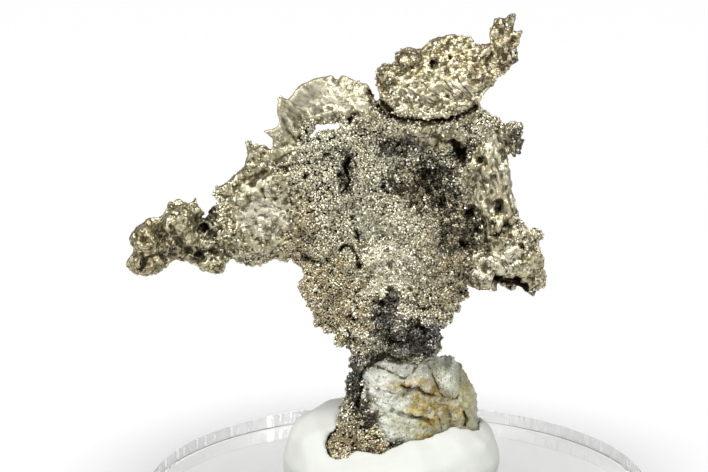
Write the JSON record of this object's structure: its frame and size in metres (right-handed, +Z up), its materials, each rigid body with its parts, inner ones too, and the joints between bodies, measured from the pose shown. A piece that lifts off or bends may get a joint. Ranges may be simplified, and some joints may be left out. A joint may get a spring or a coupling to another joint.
{
  "type": "native silver specimen",
  "caption": "Torn, hackly sheet of native silver on a block of pale carbonate rock, its foot set in white putty on a clear round display disc.",
  "frame": {"origin": "centre of the clear disc's flat underside", "axes": "+Z up, +X to the right and -Y towards a viewer of the specimen's best face"},
  "size_m": [0.059, 0.057, 0.0611],
  "materials": {
    "silver": "hackly native metal, bright grains over brown and black tarnish",
    "rock": "dull pale grey carbonate rock with dark specks and ochre rust stains",
    "putty": "thumbed white putty, matt to faintly satin",
    "acrylic": "clear polished acrylic"
  },
  "bodies": {
    "root": {"native_silver": "silver", "rock_matrix": "rock", "putty": "putty", "acrylic_disc": "acrylic"}
  },
  "joints": []
}
